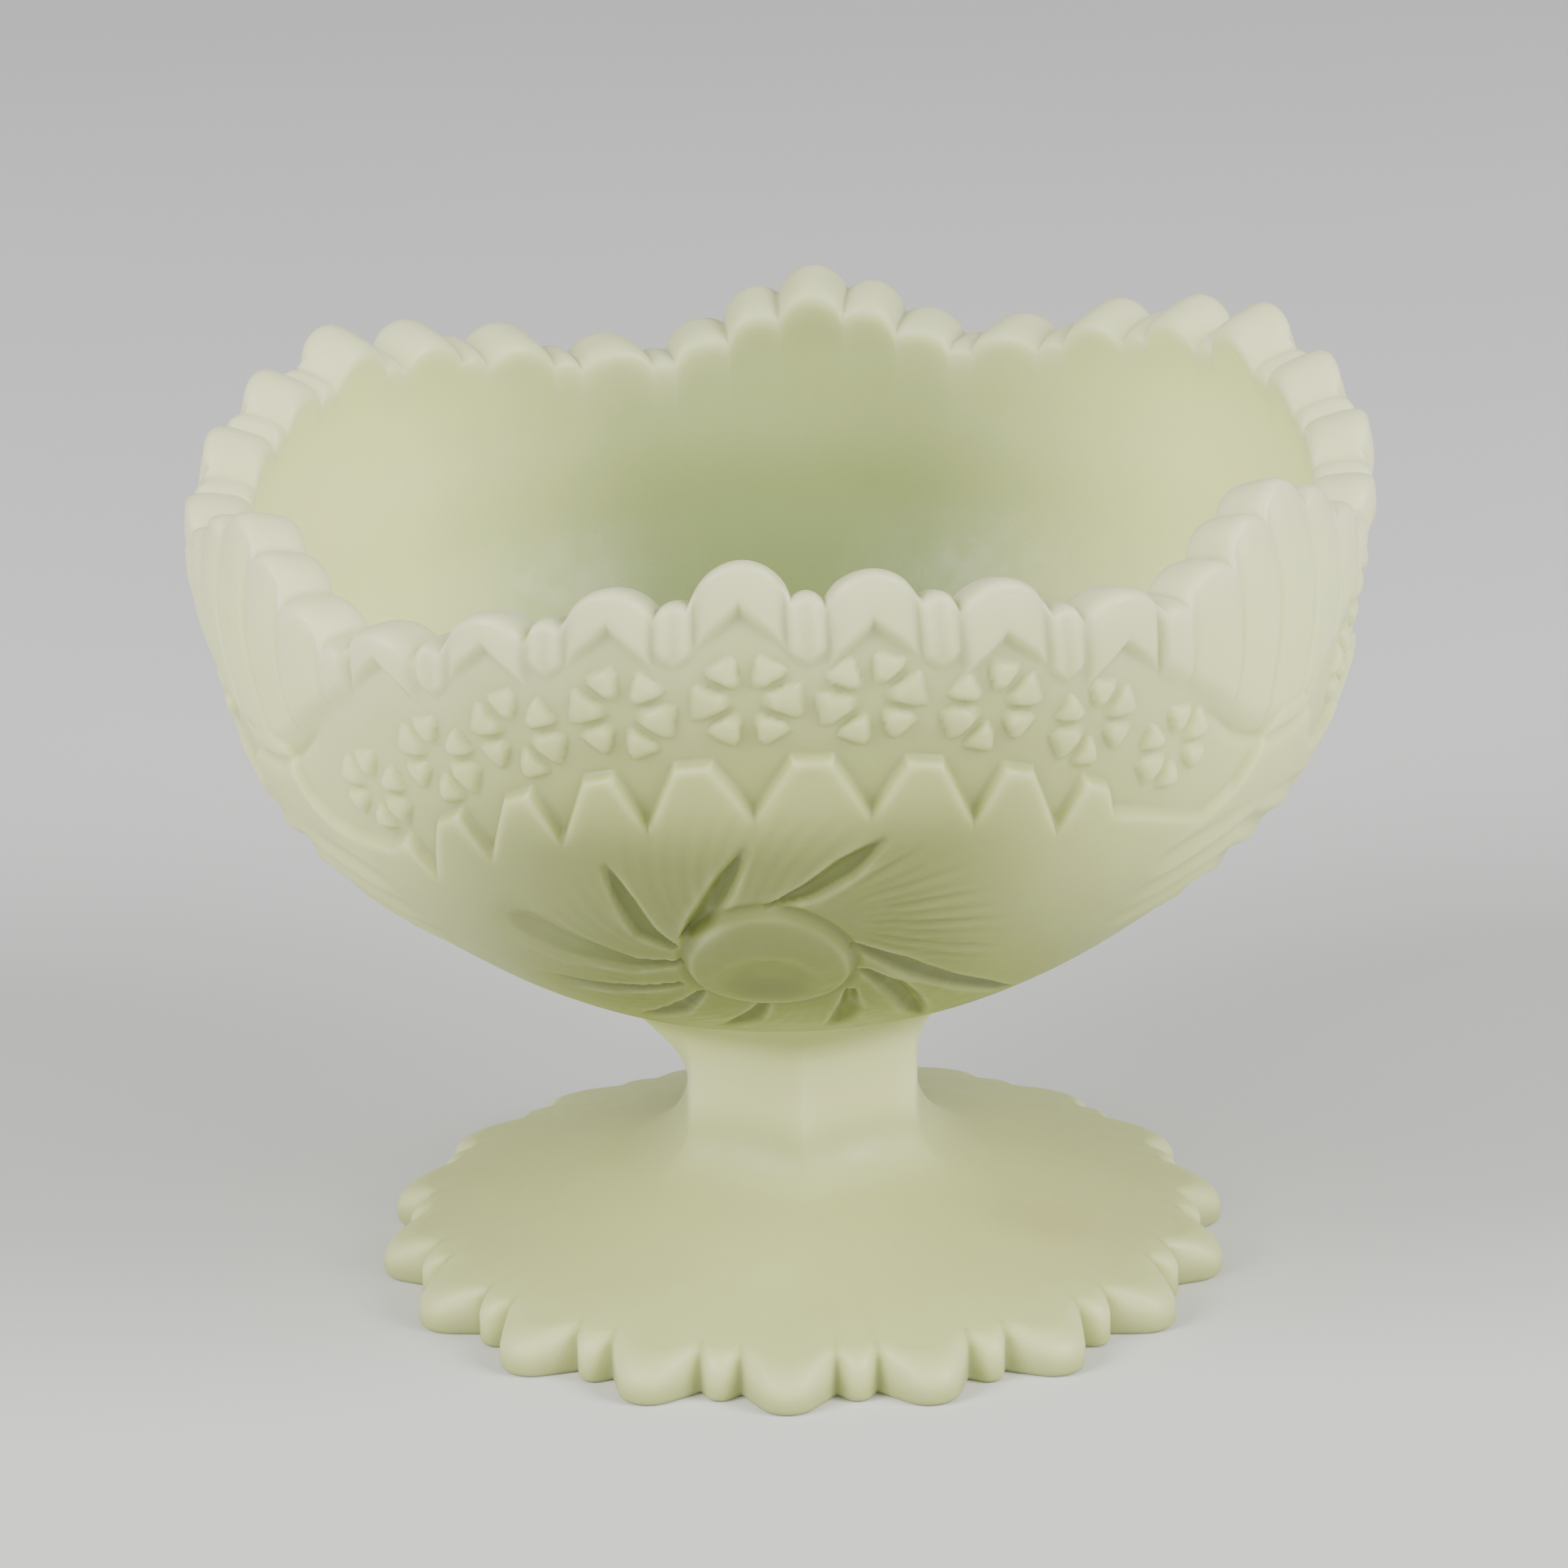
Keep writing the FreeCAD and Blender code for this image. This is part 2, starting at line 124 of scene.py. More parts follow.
# Waviness of the hand-finished glass: length and height of the waves on the bowl and on the foot.
BOWL_WAVES = (45.0, 0.25)
FOOT_WAVES = (38.0, 0.12)

# Fineness of the meshes: columns round the axis and rows along the bowl's section.
BOWL_COLUMNS = 1260
FOOT_COLUMNS = 1080
STEM_COLUMNS = 1080
LOWER_ROWS = 205
UPPER_ROWS = 92
RIM_ROWS = 25
INNER_ROWS = 78


# ---------------------------------------------------------------- curves and small helpers

def smoothstep(x):
    """0 below 0, 1 above 1, and a smooth rise between."""
    x = np.clip(x, 0.0, 1.0)
    return x * x * (3.0 - 2.0 * x)


def soft_max(values, softness):
    """Maximum along the first axis with its corners rounded."""
    top = values.max(axis=0)
    return top + softness * np.log(np.exp((values - top) / softness).sum(axis=0))


def spline(points, samples):
    """Smooth curve through points, by chord length, as evenly sampled rows."""
    points = np.asarray(points, float)
    knots = np.concatenate([[0.0], np.cumsum(np.linalg.norm(np.diff(points, axis=0), axis=1))])
    slopes = np.gradient(points, knots, axis=0, edge_order=1)
    at = np.linspace(0.0, knots[-1], samples)
    low = np.clip(np.searchsorted(knots, at, side="right") - 1, 0, len(knots) - 2)
    step = (knots[low + 1] - knots[low])[:, None]
    t = ((at - knots[low])[:, None]) / step
    return ((2 * t**3 - 3 * t**2 + 1) * points[low] + (t**3 - 2 * t**2 + t) * step * slopes[low]
            + (3 * t**2 - 2 * t**3) * points[low + 1] + (t**3 - t**2) * step * slopes[low + 1])


class HalfSection:
    """Outside line of the bowl, read by distance along it from the stem."""

    def __init__(self, points, samples=3000):
        curve = spline(points, samples)
        self.height, self.radius = curve[:, 0], curve[:, 1]
        self.distance = np.concatenate([[0.0], np.cumsum(np.linalg.norm(np.diff(curve, axis=0), axis=1))])
        self.distance -= np.interp(0.0, self.height, self.distance)
        self.rise = np.gradient(self.height, self.distance)
        self.run = np.gradient(self.radius, self.distance)

    def read(self, distance):
        """Radius, height and outward normal (across, up)."""
        picked = [np.interp(distance, self.distance, row)
                  for row in (self.radius, self.height, self.rise, self.run)]
        length = np.hypot(picked[2], picked[3])
        return picked[0], picked[1], picked[2] / length, -picked[3] / length

    def at_height(self, height):
        return np.interp(height, self.height, self.distance)


WALL = HalfSection(PROFILE)


def across(angle, centre):
    """Distance round the wall in millimetres from an angle of the panel."""
    return np.radians(angle - centre) * EDGE_RADIUS


def panel_angles(columns):
    """Angle of each column from the middle of its own panel, from -60 to 60 degrees."""
    turn = 360.0 / PANELS
    return (np.arange(columns) * 360.0 / columns + turn / 2) % turn - turn / 2


# ---------------------------------------------------------------- the bowl's rim and relief

def arch(angle, centre, radius, tip):
    """Height of a round-topped scallop, which falls away steeply outside its radius."""
    x = across(angle, centre)
    inside = np.sqrt(np.clip(radius**2 - x**2, 0.0, None))
    return tip - radius + inside - np.clip(np.abs(x) - radius, 0.0, None) * ARCH_FALL


def rim_height(angle, around):
    """Height of the rim above the stem, by angle in the panel and by angle round the dish."""
    arches = []
    for side in (-1, 1):
        for index, tip in enumerate(SCALLOP_TIPS):
            arches.append(arch(angle, side * index * PITCH, SCALLOP_RADIUS, tip))
        for index, tip in enumerate(SMALL_TIPS):
            arches.append(arch(angle, side * (index + 0.5) * PITCH, SMALL_RADIUS, tip))
        for aside, radius, tip in LEAF_SCALLOPS:
            arches.append(arch(angle, side * (LEAF - aside), radius, tip))
    uneven = sum(size * np.cos(waves * around - math.radians(crest)) for waves, size, crest in RIM_WAVES)
    return soft_max(np.stack(arches), RIM_SOFTNESS) + uneven


def bevel(depth_inside, width):
    """0 outside an outline, 1 well inside it, with a rounded shoulder."""
    t = np.clip(depth_inside / width, 0.0, 1.0)
    return np.sqrt(np.clip(1.0 - (1.0 - t) ** 2, 0.0, 1.0)) * smoothstep(t * 1.6)


def scallop_face(angle, s, centre, tip):
    """Rounded face of a scallop over an upturned V: depth inside its outline, height, bevel."""
    half, length, width = SCALLOP_FACE
    x = np.abs(across(angle, centre))
    foot = WALL.at_height(tip) - length - x * 0.85
    inside = np.minimum((s - foot) * 0.70, half - x)
    return inside, -1.45 * np.clip(x / half, 0.0, 1.0) ** 2.2 + 0.15, width


def small_face(angle, s, centre, tip):
    """Reeded face of a narrow scallop: depth inside its outline, height, bevel."""
    half, length, width = SMALL_FACE
    x = np.abs(across(angle, centre))
    inside = np.minimum((s - WALL.at_height(tip) + length - 0.8 * x) * 0.7, half - x)
    return inside, -0.75 - 0.20 * np.cos(x * 2.2) - 0.08 * x**2, width


def sink(angle):
    """The pattern's rows sink towards the sides of a panel and run a little uphill."""
    return 0.0092 * angle**2 - 0.06 * angle


# Stars: distance along the wall, angles, and their petals as direction, near end, far end, half width.
ROSETTE_ROW = 94.8
ROSETTE_ANGLES = (-41.0, -31.6, -22.0, -11.3, 0.4, 11.8, 23.2, 34.0, 44.0)
ROSETTE_PETALS = ((0.0, 1.4, 6.7, 2.35), (180.0, 1.4, 6.7, 2.35), (57.0, 1.7, 6.4, 2.0),
                  (123.0, 1.7, 6.4, 2.0), (236.0, 1.7, 6.3, 2.0), (304.0, 1.7, 6.3, 2.0))
PETAL_HEIGHT = 1.10


def petal(x, y, turn, near, far, half):
    """Cushion-shaped wedge whose narrow end faces the middle of its rosette, 0 to 1."""
    along = (x * math.cos(turn) + y * math.sin(turn) - near) / (far - near)
    side = np.abs(-x * math.sin(turn) + y * math.cos(turn)) / half
    width = np.clip(0.16 + 1.15 * along, 0.05, 1.0)
    round_side = np.sqrt(np.clip(1.0 - (side / width) ** 2.4, 0.0, 1.0))
    round_end = np.sqrt(np.clip(1.0 - (np.clip(along - 0.60, 0.0, None) / 0.40) ** 2.2, 0.0, 1.0))
    return round_side * round_end * smoothstep(along / 0.42) * (side < width)


def rosettes(angle, s):
    """Stars of six raised wedges left between crossing cuts."""
    height = np.zeros_like(s)
    for centre in ROSETTE_ANGLES:
        x = across(angle, centre)
        y = s - (ROSETTE_ROW - sink(centre))
        lean = -0.012 * centre
        x, y = x - lean * y, y + lean * x
        for turn, near, far, half in ROSETTE_PETALS:
            height = np.maximum(height, PETAL_HEIGHT * petal(x, y, math.radians(turn), near, far, half))
    return height


# Teeth: distance along the wall of their roots, height, and the angles of their tops.
TAB_ROW = 80.3
TAB_TALL = 7.2
TAB_TOPS = (-57.0, -48.0, -39.5, -31.2, -22.8, -14.2, -5.2, 6.2, 16.8, 26.0, 34.6, 43.0, 51.5, 60.0)

# Top edge of the plain wall beside the teeth, up to the leaves: angle and distance along the wall.
LEFT_EDGE = ((-60.0, 82.0), (-54.5, 80.0), (-52.6, 73.5), (-50.0, 70.6), (-46.0, 69.3), (-40.5, 69.6),
             (-37.0, 72.0))
RIGHT_EDGE = ((37.5, 73.5), (41.0, 72.2), (45.0, 70.2), (50.0, 68.0), (54.0, 71.0), (57.0, 76.5),
              (60.0, 82.0))


def tabs(angle, s):
    """Depth inside the plain wall under the rosettes, whose top edge is a row of tapered teeth."""
    tops = np.array(TAB_TOPS)
    phase = np.interp(angle, tops, np.arange(len(tops)))
    share = 2.0 * np.abs(phase - np.round(phase))
    base = TAB_ROW - sink(angle)
    slope = TAB_TALL / 4.6
    teeth = base + TAB_TALL * (1.0 - share) / 0.62
    toothed = np.minimum(base + TAB_TALL - s, (teeth - s) / math.sqrt(1.0 + slope**2))
    edge_angles, edge_rows = zip(*(LEFT_EDGE + RIGHT_EDGE))
    plain = (np.interp(angle, edge_angles, edge_rows) - s) * 0.8
    beside = smoothstep((np.abs(angle + 0.5) - 36.0) / 2.5)
    return toothed * (1.0 - beside) + plain * beside


def leaf_aside(angle):
    """Millimetres from the middle of the nearest leaf."""
    return np.abs(across(np.abs(angle), LEAF))


# Lower edge of a leaf: millimetres from its middle and distance along the wall.
LEAF_EDGE = ((0.0, 76.0), (5.0, 76.4), (9.0, 78.2), (14.0, 82.0), (20.0, 86.2), (24.5, 89.0), (25.6, 104.0),
             (26.2, 130.0))


def leaf_inside(angle, s):
    """Depth inside the smooth leaf that hangs from the rim to a point between two panels."""
    aside, edge = zip(*LEAF_EDGE)
    return (s - np.interp(leaf_aside(angle), aside, edge)) * 0.72


def leaf_columns(angle, s):
    """Rounded columns that run down from the scallops over a leaf and melt into it."""
    sunk = np.ones_like(angle * s) * 0.55
    tops = np.zeros_like(sunk)
    aside = LEAF - np.abs(angle)
    for place, radius, tip in LEAF_SCALLOPS + ((17.0, 2.9, 67.4),):
        share = np.abs(np.radians(aside - place) * EDGE_RADIUS) / (radius * 0.97)
        column = 1.15 * np.clip(share, 0.0, 1.35) ** 2.6
        tops = np.where(column < sunk, WALL.at_height(tip), tops)
        sunk = np.minimum(sunk, column)
    return -sunk * smoothstep((s - tops + 15.0) / 11.0)


def stroke(x, y, points):
    """How deep a place lies in a tapering stroke: 1 on its middle line, 0 at its edges."""
    inside = np.zeros_like(x * y)
    for (x0, y0, w0), (x1, y1, w1) in zip(points, points[1:]):
        run, rise = x1 - x0, y1 - y0
        share = np.clip(((x - x0) * run + (y - y0) * rise) / (run**2 + rise**2), 0.0, 1.0)
        gap = np.hypot(x - x0 - share * run, y - y0 - share * rise)
        inside = np.maximum(inside, 1.0 - gap / (w0 + (w1 - w0) * share))
    return inside


# Pinwheel: its hub, and the half widths of its button and of the dish in the button.
HUB_ANGLE = 0.5
HUB_ROW = 50.8
BUTTON = (10.7, 13.3)
BUTTON_DISH = (7.3, 8.6)
FLUTE_DEPTH = 1.6

# Flutes of the pinwheel: middle line and half width, in millimetres from its hub.
FLUTES = (
    ((-11.6, 5.4, 0.7), (-15.0, 9.4, 1.9), (-17.0, 14.8, 1.8), (-19.4, 20.8, 0.9)),
    ((-10.0, 8.2, 0.8), (-7.8, 11.7, 2.0), (-5.0, 17.4, 1.9), (-1.8, 23.8, 1.3)),
    ((0.4, 14.4, 0.4), (5.6, 16.8, 1.6), (10.6, 20.4, 2.1), (15.6, 24.2, 0.9)),
    ((-11.6, 0.6, 1.0), (-17.5, 0.4, 2.4), (-26.0, 3.4, 4.8), (-35.0, 9.0, 5.5)),
    ((-12.0, -6.2, 0.8), (-21.5, -9.6, 2.2), (-31.0, -11.0, 3.4)),
    ((11.2, 4.6, 0.9), (16.0, -0.6, 2.1), (20.7, -7.4, 2.3), (27.0, -17.5, 2.0), (32.0, -26.0, 0.9)),
    ((11.8, -3.0, 0.8), (14.9, -8.5, 2.0), (16.7, -16.0, 2.2), (17.5, -24.0, 1.8), (18.0, -30.0, 0.8)),
    ((9.6, -9.8, 0.8), (8.8, -18.5, 2.1), (6.5, -28.0, 1.8)),
    ((-9.5, -9.5, 0.8), (-13.5, -18.0, 2.1), (-19.0, -25.0, 1.6)),
    ((-1.5, -13.5, 0.8), (-4.0, -21.0, 2.0), (-8.0, -28.0, 1.6)),
)

# Fine lines: where they start, and their headings in degrees.
FAN_START = (3.0, 13.0)
FAN_LINES = (29.0, 21.0, 14.0, 7.0, 2.0, -5.0, -12.0, -19.0, -27.0, -34.0)


def fan(x, y):
    """Fine cut lines that spread from the top of the button to the right."""
    away = np.hypot(x - FAN_START[0], y - FAN_START[1])
    heading = np.degrees(np.arctan2(y - FAN_START[1], x - FAN_START[0]))
    lines = np.zeros_like(away)
    for number, line in enumerate(FAN_LINES):
        gap = np.abs(np.radians(heading - line)) * away
        lines = np.maximum(lines, (0.34 - 0.12 * (number % 2)) * np.exp(-((gap / 0.55) ** 2)))
    return -lines * smoothstep((away - 8.0) / 6.0) * smoothstep((33.0 - away) / 8.0) * (x > FAN_START[0])


def pinwheel(angle, s, radius):
    """Tapering flutes that swirl round a dished button, with fine lines between them."""
    x = np.radians(angle - HUB_ANGLE) * radius
    y = s - HUB_ROW
    reach = np.hypot(x, y)
    heading = np.degrees(np.arctan2(y, x))
    cut = np.zeros_like(x)
    for points in FLUTES:
        end = math.hypot(*points[-1][:2])
        cut = np.maximum(cut, stroke(x, y, points) * smoothstep((end + 2.5 - reach) / 7.5))
    grain = 0.05 * np.cos(np.radians((heading + 1.2 * reach) * 60.0)) * smoothstep((reach - 14.0) / 6.0)
    between = (fan(x, y) + grain) * smoothstep((34.0 - reach) / 8.0)
    swell = 0.35 * smoothstep((reach - 12.0) / 5.0) * smoothstep((34.0 - reach) / 12.0)
    height = swell + between - FLUTE_DEPTH * cut**0.9

    button = np.hypot(x / BUTTON[0], (y - 0.8) / BUTTON[1])
    dish = np.hypot((x + 0.4) / BUTTON_DISH[0], (y + 2.6) / BUTTON_DISH[1])
    cap = smoothstep((1.0 - button) / 0.10)
    dome = 0.7 + 0.5 * smoothstep((1.0 - button) / 0.35) - 1.9 * smoothstep((1.0 - dish) / 0.75)
    rim = -0.5 * np.exp(-(((button - 1.04) / 0.05) ** 2))
    return (height + rim) * (1.0 - cap) + dome * cap, cut * (1.0 - cap)


# Steps low on the wall under a leaf: height, spacing and slant.
LOW_RIB_HEIGHT = 0.45
LOW_RIB_PITCH = 6.5
LOW_RIB_SLANT = 0.35


def low_ribs(angle, s):
    """Soft steps on the plain wall under a leaf, fading out round their patch."""
    row = s - LOW_RIB_SLANT * across(np.abs(angle), LEAF)
    wave = np.cos(row * 2.0 * math.pi / LOW_RIB_PITCH)
    under_leaf = smoothstep((np.abs(angle) - 43.0) / 5.0)
    return LOW_RIB_HEIGHT * wave * under_leaf * smoothstep((s - 42.0) / 5.0) * smoothstep((67.0 - s) / 4.0)


def relief(angle, s, radius):
    """Height of the pattern above (+) or below (-) the bowl's profile, and how deep in a flute."""
    ground = -RELIEF * (1.0 - 0.25 * smoothstep((np.abs(angle) - 36.0) / 12.0)) * np.ones_like(s)

    wall = tabs(angle, s)
    height = ground - ground * bevel(wall, 1.7)
    swirl, flute = pinwheel(angle, s, radius)
    height += swirl * smoothstep(wall / 3.0)
    height += low_ribs(angle, s)
    height = np.where(wall < 0.0, np.maximum(height, ground + rosettes(angle, s)), height)

    faces = [scallop_face(angle, s, index * PITCH, SCALLOP_TIPS[abs(index)]) for index in range(-3, 4)]
    for side in (-1, 1):
        for index, tip in enumerate(SMALL_TIPS[:3]):
            faces.append(small_face(angle, s, side * (index + 0.5) * PITCH, tip))
    for inside, face, width in faces:
        height = np.maximum(height, ground + (face - ground) * bevel(inside, width))

    leaf = leaf_inside(angle, s)
    swell = 0.30 + leaf_columns(angle, s)
    height = np.maximum(height, ground + (swell - ground) * bevel(leaf, 5.5))
    height -= 0.7 * np.exp(-(((leaf + 0.1) / 0.6) ** 2)) * smoothstep((np.abs(angle) - 46.0) / 6.0)
    return height * smoothstep((s - 16.0) / 14.0), flute


# ---------------------------------------------------------------- meshes

def place_bowl(x, y, h):
    """From the bowl's own axes to the dish's, millimetres."""
    return (x * math.cos(LEAN) - h * math.sin(LEAN) + BOWL_SHIFT, y,
            STEM_TOP + x * math.sin(LEAN) + h * math.cos(LEAN))


WANDER_SEED = 7
WANDER_WAVES = 7


def wander(x, y, z, length, amount):
    """Slow, small unevenness of pressed glass, the same every run."""
    rng = np.random.default_rng(WANDER_SEED)
    total = np.zeros_like(x)
    for _ in range(WANDER_WAVES):
        direction = rng.normal(size=3)
        direction *= 2.0 * math.pi / length / np.linalg.norm(direction) * rng.uniform(0.6, 1.6)
        total += np.sin(direction[0] * x + direction[1] * y + direction[2] * z + rng.uniform(0, 6.28))
    return amount * total / WANDER_WAVES


def grid_mesh(name, x, y, z, tints, sharp_row=None):
    """Ring mesh from rows of points along the section and columns round the axis, closed at both ends."""
    rows, columns = x.shape
    points = np.stack([x, y, z], axis=-1).reshape(-1, 3) * MM
    index = np.arange(rows * columns).reshape(rows, columns)
    right = np.roll(index, -1, axis=1)
    faces = np.stack([index[:-1], right[:-1], right[1:], index[1:]], axis=-1).reshape(-1, 4)
    triangles = []
    centres = []
    for row, step in ((0, -1), (rows - 1, 1)):
        centre = len(points) + len(centres)
        centres.append(points.reshape(rows, columns, 3)[row].mean(axis=0))
        triangles.append(np.stack([index[row], right[row], np.full(columns, centre)], axis=-1)[:, ::step])
    points = np.concatenate([points, np.array(centres)])
    mesh = bpy.data.meshes.new(name)
    loops = np.concatenate([faces.reshape(-1)] + [t.reshape(-1) for t in triangles]).astype(np.int32)
    counts = np.concatenate([np.full(len(faces), 4)] + [np.full(len(t), 3) for t in triangles])
    mesh.vertices.add(len(points))
    mesh.vertices.foreach_set("co", points.reshape(-1).astype(np.float32))
    mesh.loops.add(len(loops))
    mesh.loops.foreach_set("vertex_index", loops)
    mesh.polygons.add(len(counts))
    starts = np.concatenate([[0], np.cumsum(counts)[:-1]]).astype(np.int32)
    mesh.polygons.foreach_set("loop_start", starts)
    mesh.polygons.foreach_set("use_smooth", np.ones(len(counts), bool))
    mesh.update(calc_edges=True)
    mesh.validate()
    if sharp_row is not None:
        ends = np.empty(len(mesh.edges) * 2, np.int32)
        mesh.edges.foreach_get("vertices", ends)
        mesh.edges.foreach_set("use_edge_sharp", (ends.reshape(-1, 2) // columns == sharp_row).all(axis=1))
    for tint, values in tints.items():
        values = np.concatenate([values.reshape(-1), np.full(len(centres), float(values.mean()))])
        layer = mesh.attributes.new(tint, "FLOAT", "POINT")
        layer.data.foreach_set("value", values.astype(np.float32))
    piece = bpy.data.objects.new(name, mesh)
    bpy.context.collection.objects.link(piece)
    return piece


def blurred(values, passes=3, reach=3):
    """Local mean over a patch of the wall, wrapping round it."""
    for _ in range(passes):
        values = sum(np.roll(values, step, axis=1) for step in range(-reach, reach + 1)) / (2 * reach + 1)
        padded = np.pad(values, ((reach, reach), (0, 0)), mode="edge")
        values = sum(padded[step:step + len(values)] for step in range(2 * reach + 1)) / (2 * reach + 1)
    return values


def make_bowl():
    """Wall with its pattern, rounded rim and smooth inside, and how each place is tinted."""
    angle = panel_angles(BOWL_COLUMNS)[None, :]
    around = np.radians(PANEL_ANGLE + np.arange(BOWL_COLUMNS) * 360.0 / BOWL_COLUMNS)[None, :]
    top = WALL.at_height(rim_height(angle, around) - RIM_ROUND)

    below = np.linspace(WALL.distance[0], ROWS_FOLLOW, LOWER_ROWS)[:, None] * np.ones_like(angle)
    above = ROWS_FOLLOW + (top - ROWS_FOLLOW) * np.linspace(0.0, 1.0, UPPER_ROWS)[1:, None]
    s_out = np.concatenate([below, above])
    radius, height, out_r, out_h = WALL.read(s_out)
    lift, flute = relief(angle * np.ones_like(s_out), s_out, radius)
    outer_r, outer_h = radius + out_r * lift, height + out_h * lift

    share = np.linspace(1.0, 0.0, INNER_ROWS)[:, None]
    s_in = FLOOR_START + (top - FLOOR_START) * share
    in_radius, in_height, in_r, in_h = WALL.read(s_in)
    thick = BASE_THICKNESS + (RIM_THICKNESS - BASE_THICKNESS) * smoothstep(s_in / 100.0)
    inner_r = np.clip(in_radius - in_r * thick, 0.0, None)
    inner_h = in_height - in_h * thick
    wall_share = smoothstep((inner_r - FLOOR_FLAT) / (FLOOR_MELTS - FLOOR_FLAT))
    inner_h = inner_h * wall_share + (BASE_THICKNESS + 0.3) * (1.0 - wall_share)

    # The rim rounds over from the outer face to the inner one, across the full thickness.
    turn = np.linspace(0.0, math.pi, RIM_ROWS)[1:-1, None]
    power = 2.0 / RIM_SQUARENESS
    sweep = (1.0 - np.sign(np.cos(turn)) * np.abs(np.cos(turn)) ** power) / 2.0
    swell = np.abs(np.sin(turn)) ** power
    start_r, start_h = outer_r[-1:], outer_h[-1:]
    end_r, end_h = inner_r[:1], inner_h[:1]
    lean_r, lean_h = out_h[-1:], out_r[-1:]
    rim_r = start_r + (end_r - start_r) * sweep - lean_r * RIM_ROUND * swell * 0.4
    rim_h = start_h + (end_h - start_h) * sweep + lean_h * RIM_ROUND * swell

    r = np.concatenate([outer_r, rim_r, inner_r])
    h = np.concatenate([outer_h, rim_h, inner_h])
    x, y = r * np.cos(around), r * np.sin(around)
    uneven = wander(x, y, h, *BOWL_WAVES)
    x, y = x + uneven * np.cos(around), y + uneven * np.sin(around)

    # What the glass colour goes by, mostly painted light and shade.
    # Sunk relief takes a painted shade in the material.
    raised = np.concatenate([lift, np.zeros_like(rim_r), np.zeros_like(inner_r)])
    inside = np.concatenate([np.zeros_like(outer_r), sweep * np.ones_like(rim_r), np.ones_like(inner_r)])
    s_all = np.concatenate([s_out, top * np.ones_like(rim_r), s_in])
    near_rim = np.exp(-np.clip(top - s_all, 0.0, None) / np.where(inside == 1.0, 3.2, 7.0))
    smooth = smoothstep(leaf_inside(angle, s_all) / 3.0) * (1.0 - inside)
    # Painted highlight on crests and painted shade in crevices: the relief less its local mean.
    crest = np.concatenate([lift - blurred(lift), np.zeros_like(rim_r), np.zeros_like(inner_r)])
    # Painted shade over the front panels, darkest in the pinwheel's flutes.
    painted_shade = smoothstep((84.0 - s_all) / 12.0) * smoothstep((s_all - 24.0) / 16.0)
    painted_shade = painted_shade * (1.0 - smoothstep((np.abs(angle + 8.0) - 20.0) / 22.0)) * (1.0 - inside) * 0.70
    painted_shade[:len(flute)] = np.maximum(painted_shade[:len(flute)], 1.35 * smoothstep(flute / 0.6))
    # Painted light higher up and on the smooth leaves, painted shade lower down.
    up = np.clip(h / 80.0, 0.0, 1.0) + 0.30 * smooth
    # Painted light towards the left and right of the dish, painted shade in the middle.
    side = np.clip(np.abs(x) / 74.0, 0.0, 1.0)
    tints = {"raised": raised, "inside": inside, "near_rim": near_rim, "up": up, "edge": crest, "side": side,
             "painted_shade": painted_shade, "stain": 0.0 * h, "joint": 0.0 * h}
    return grid_mesh("bowl_glass", *place_bowl(x, y, h), tints)


def stem_waist(turn):
    """Radius of the six-sided stem, with rounded corners and one of them facing -Y."""
    sector = turn % math.radians(60.0) - math.radians(30.0)
    flat = STEM_CORNER * math.cos(math.radians(30.0)) / np.cos(math.radians(30.0) - np.abs(sector))
    corner = (STEM_CORNER - CORNER_CUT) * np.ones_like(flat)
    return -soft_max(np.stack([-flat, -corner]), CORNER_SOFTNESS)


def bezier(start, middle, end, share):
    """Quadratic curve through three control values."""
    return start * (1.0 - share) ** 2 + middle * 2.0 * share * (1.0 - share) + end * share**2


def foot_top(radius):
    """Height of the foot's conical top."""
    return FOOT_EDGE + (FOOT_EDGE_RADIUS - radius) * FOOT_SLOPE


def bowl_under(radius, turn):
    """Height of the leaning bowl's underside near the stem, at a distance from the axis."""
    height = np.interp(radius, (17.0, 19.0, 25.6, 32.4), (-0.1, 0.2, 1.6, 3.6))
    return STEM_TOP + (radius * np.cos(turn) - BOWL_SHIFT) * math.sin(LEAN) + height * math.cos(LEAN)


def foot_flare(turn, share):
    """Fillet from the stem (share 0) down to the foot's top (share 1): radius and height."""
    waist = stem_waist(turn)
    radius = bezier(waist, waist + 0.15, FLARE_RADIUS, share)
    return radius, bezier(FLARE_HIGH, foot_top(waist), foot_top(FLARE_RADIUS), share)


def bowl_flare(waist, turn, share):
    """Bell that runs from the stem (share 0) out under the bowl (share 1): radius and height.

    It is wider and lower on the side the bowl leans to, and tighter in front and behind.
    """
    away = np.cos(turn)
    raised = 5.8 * smoothstep(np.abs(np.sin(turn)) / 0.7)
    reach = 24.9 - 1.4 * away
    radii = (waist, waist + 0.1, 19.8 - 2.2 * away, reach)
    heights = (26.2 + 1.6 * away + raised, 31.2 + 0.6 * away + raised, 33.4 + 1.3 * away + raised,
               bowl_under(reach, turn) + 0.25)
    weights = ((1.0 - share) ** 3, 3.0 * share * (1.0 - share) ** 2, 3.0 * share**2 * (1.0 - share), share**3)
    return (sum(weight * value for weight, value in zip(weights, radii)),
            sum(weight * value for weight, value in zip(weights, heights)))


